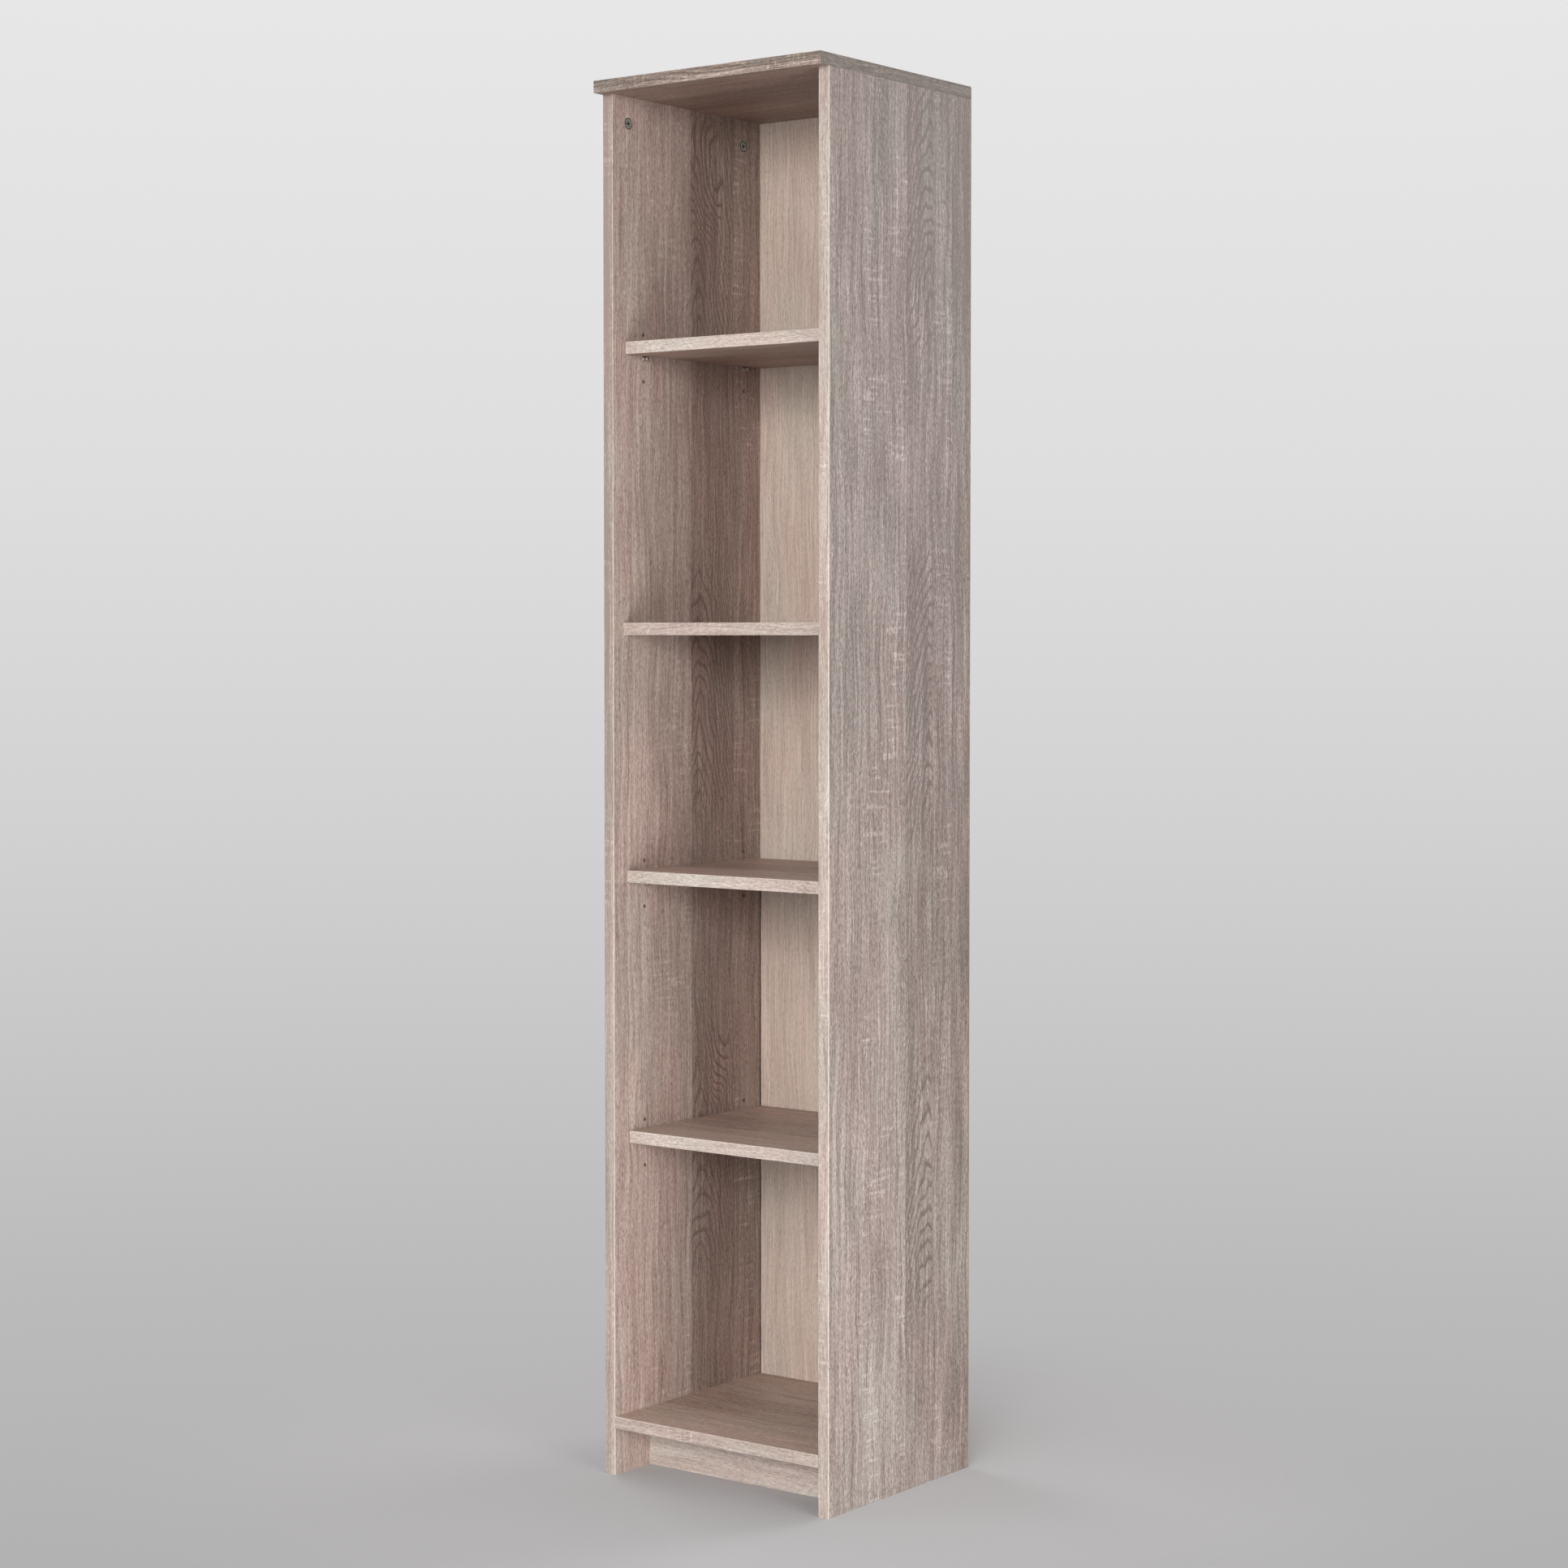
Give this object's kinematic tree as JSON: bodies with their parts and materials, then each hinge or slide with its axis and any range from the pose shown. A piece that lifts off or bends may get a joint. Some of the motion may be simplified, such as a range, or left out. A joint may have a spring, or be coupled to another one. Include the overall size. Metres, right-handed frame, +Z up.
{
  "type": "bookcase with adjustable shelves",
  "caption": "Tall narrow open bookcase: drilled sides, overhanging top, recessed plinth, fixed middle shelf and loose shelves on push-in pins.",
  "frame": {"origin": "on the floor, under the middle of the outer box", "axes": "+Z up, along the height; the open front faces -Y; X across the width, with +X to the right for a viewer who faces the front"},
  "size_m": [0.36, 0.3314, 1.8],
  "materials": {
    "laminate": "greige oak-print melamine on chipboard, satin",
    "edge_band": "pale oak-print edge banding with rounded corners, satin",
    "back_board": "pale oak-print coated fibreboard, matt",
    "shelf_pin": "bright nickel plating",
    "cam_lock": "die-cast zinc, dull grey",
    "bolt": "zinc-plated steel",
    "dowel": "plain beech"
  },
  "bodies": {
    "case": {"top_panel": "laminate", "left_side": "laminate", "right_side": "laminate", "bottom_panel": "laminate", "fixed_shelf": "laminate", "plinth": "laminate", "back_panel": "back_board", "top_front_band": "edge_band", "top_left_band": "edge_band", "top_right_band": "edge_band", "left_side_band": "edge_band", "right_side_band": "edge_band", "bottom_panel_band": "edge_band", "fixed_shelf_band": "edge_band", "top_cam_bolts": "bolt", "fixed_shelf_cam_bolts": "bolt", "bottom_panel_cam_bolts": "bolt", "plinth_cam_bolts": "bolt", "top_dowels": "dowel", "fixed_shelf_dowels": "dowel", "bottom_panel_dowels": "dowel", "plinth_dowels": "dowel", "back_nails": "bolt"},
    "upper_shelf": {"upper_shelf": "laminate", "upper_shelf_band": "edge_band"},
    "middle_shelf": {"middle_shelf": "laminate", "middle_shelf_band": "edge_band"},
    "lower_shelf": {"lower_shelf": "laminate", "lower_shelf_band": "edge_band"},
    "upper_pin_left_front": {"upper_pin_left_front": "shelf_pin"},
    "upper_pin_left_rear": {"upper_pin_left_rear": "shelf_pin"},
    "upper_pin_right_front": {"upper_pin_right_front": "shelf_pin"},
    "upper_pin_right_rear": {"upper_pin_right_rear": "shelf_pin"},
    "middle_pin_left_front": {"middle_pin_left_front": "shelf_pin"},
    "middle_pin_left_rear": {"middle_pin_left_rear": "shelf_pin"},
    "middle_pin_right_front": {"middle_pin_right_front": "shelf_pin"},
    "middle_pin_right_rear": {"middle_pin_right_rear": "shelf_pin"},
    "lower_pin_left_front": {"lower_pin_left_front": "shelf_pin"},
    "lower_pin_left_rear": {"lower_pin_left_rear": "shelf_pin"},
    "lower_pin_right_front": {"lower_pin_right_front": "shelf_pin"},
    "lower_pin_right_rear": {"lower_pin_right_rear": "shelf_pin"},
    "top_cam_left_front": {"top_cam_left_front": "cam_lock"},
    "top_cam_left_rear": {"top_cam_left_rear": "cam_lock"},
    "top_cam_right_front": {"top_cam_right_front": "cam_lock"},
    "top_cam_right_rear": {"top_cam_right_rear": "cam_lock"},
    "fixed_cam_left_front": {"fixed_cam_left_front": "cam_lock"},
    "fixed_cam_left_rear": {"fixed_cam_left_rear": "cam_lock"},
    "fixed_cam_right_front": {"fixed_cam_right_front": "cam_lock"},
    "fixed_cam_right_rear": {"fixed_cam_right_rear": "cam_lock"},
    "bottom_cam_left_front": {"bottom_cam_left_front": "cam_lock"},
    "bottom_cam_left_rear": {"bottom_cam_left_rear": "cam_lock"},
    "bottom_cam_right_front": {"bottom_cam_right_front": "cam_lock"},
    "bottom_cam_right_rear": {"bottom_cam_right_rear": "cam_lock"},
    "plinth_cam_left": {"plinth_cam_left": "cam_lock"},
    "plinth_cam_right": {"plinth_cam_right": "cam_lock"}
  },
  "joints": [
    {"name": "upper_shelf_draw", "type": "slide", "parent": "case", "child": "upper_shelf", "axis": [0, -1, 0], "range_m": [0, 0.33]},
    {"name": "middle_shelf_draw", "type": "slide", "parent": "case", "child": "middle_shelf", "axis": [0, -1, 0], "range_m": [0, 0.33]},
    {"name": "lower_shelf_draw", "type": "slide", "parent": "case", "child": "lower_shelf", "axis": [0, -1, 0], "range_m": [0, 0.33]},
    {"name": "upper_pin_left_front_pull", "type": "slide", "parent": "case", "child": "upper_pin_left_front", "axis": [1, 0, 0], "range_m": [0, 0.012]},
    {"name": "upper_pin_left_rear_pull", "type": "slide", "parent": "case", "child": "upper_pin_left_rear", "axis": [1, 0, 0], "range_m": [0, 0.012]},
    {"name": "upper_pin_right_front_pull", "type": "slide", "parent": "case", "child": "upper_pin_right_front", "axis": [-1, 0, 0], "range_m": [0, 0.012]},
    {"name": "upper_pin_right_rear_pull", "type": "slide", "parent": "case", "child": "upper_pin_right_rear", "axis": [-1, 0, 0], "range_m": [0, 0.012]},
    {"name": "middle_pin_left_front_pull", "type": "slide", "parent": "case", "child": "middle_pin_left_front", "axis": [1, 0, 0], "range_m": [0, 0.012]},
    {"name": "middle_pin_left_rear_pull", "type": "slide", "parent": "case", "child": "middle_pin_left_rear", "axis": [1, 0, 0], "range_m": [0, 0.012]},
    {"name": "middle_pin_right_front_pull", "type": "slide", "parent": "case", "child": "middle_pin_right_front", "axis": [-1, 0, 0], "range_m": [0, 0.012]},
    {"name": "middle_pin_right_rear_pull", "type": "slide", "parent": "case", "child": "middle_pin_right_rear", "axis": [-1, 0, 0], "range_m": [0, 0.012]},
    {"name": "lower_pin_left_front_pull", "type": "slide", "parent": "case", "child": "lower_pin_left_front", "axis": [1, 0, 0], "range_m": [0, 0.012]},
    {"name": "lower_pin_left_rear_pull", "type": "slide", "parent": "case", "child": "lower_pin_left_rear", "axis": [1, 0, 0], "range_m": [0, 0.012]},
    {"name": "lower_pin_right_front_pull", "type": "slide", "parent": "case", "child": "lower_pin_right_front", "axis": [-1, 0, 0], "range_m": [0, 0.012]},
    {"name": "lower_pin_right_rear_pull", "type": "slide", "parent": "case", "child": "lower_pin_right_rear", "axis": [-1, 0, 0], "range_m": [0, 0.012]},
    {"name": "top_cam_left_front_turn", "type": "hinge", "parent": "case", "child": "top_cam_left_front", "pos_m": [-0.164, -0.1157, 1.75], "axis": [1, 0, 0], "range_deg": [0, 180]},
    {"name": "top_cam_left_rear_turn", "type": "hinge", "parent": "case", "child": "top_cam_left_rear", "pos_m": [-0.164, 0.1263, 1.75], "axis": [1, 0, 0], "range_deg": [0, 180]},
    {"name": "top_cam_right_front_turn", "type": "hinge", "parent": "case", "child": "top_cam_right_front", "pos_m": [0.164, -0.1157, 1.75], "axis": [-1, 0, 0], "range_deg": [0, 180]},
    {"name": "top_cam_right_rear_turn", "type": "hinge", "parent": "case", "child": "top_cam_right_rear", "pos_m": [0.164, 0.1263, 1.75], "axis": [-1, 0, 0], "range_deg": [0, 180]},
    {"name": "fixed_cam_left_front_turn", "type": "hinge", "parent": "case", "child": "fixed_cam_left_front", "pos_m": [-0.13, -0.0887, 1.092], "axis": [0, 0, -1], "range_deg": [0, 180]},
    {"name": "fixed_cam_left_rear_turn", "type": "hinge", "parent": "case", "child": "fixed_cam_left_rear", "pos_m": [-0.13, 0.1253, 1.092], "axis": [0, 0, -1], "range_deg": [0, 180]},
    {"name": "fixed_cam_right_front_turn", "type": "hinge", "parent": "case", "child": "fixed_cam_right_front", "pos_m": [0.13, -0.0887, 1.092], "axis": [0, 0, -1], "range_deg": [0, 180]},
    {"name": "fixed_cam_right_rear_turn", "type": "hinge", "parent": "case", "child": "fixed_cam_right_rear", "pos_m": [0.13, 0.1253, 1.092], "axis": [0, 0, -1], "range_deg": [0, 180]},
    {"name": "bottom_cam_left_front_turn", "type": "hinge", "parent": "case", "child": "bottom_cam_left_front", "pos_m": [-0.13, -0.1107, 0.061], "axis": [0, 0, -1], "range_deg": [0, 180]},
    {"name": "bottom_cam_left_rear_turn", "type": "hinge", "parent": "case", "child": "bottom_cam_left_rear", "pos_m": [-0.13, 0.1253, 0.061], "axis": [0, 0, -1], "range_deg": [0, 180]},
    {"name": "bottom_cam_right_front_turn", "type": "hinge", "parent": "case", "child": "bottom_cam_right_front", "pos_m": [0.13, -0.1107, 0.061], "axis": [0, 0, -1], "range_deg": [0, 180]},
    {"name": "bottom_cam_right_rear_turn", "type": "hinge", "parent": "case", "child": "bottom_cam_right_rear", "pos_m": [0.13, 0.1253, 0.061], "axis": [0, 0, -1], "range_deg": [0, 180]},
    {"name": "plinth_cam_left_turn", "type": "hinge", "parent": "case", "child": "plinth_cam_left", "pos_m": [-0.13, -0.0597, 0.041], "axis": [0, 1, 0], "range_deg": [0, 180]},
    {"name": "plinth_cam_right_turn", "type": "hinge", "parent": "case", "child": "plinth_cam_right", "pos_m": [0.13, -0.0597, 0.041], "axis": [0, 1, 0], "range_deg": [0, 180]}
  ]
}
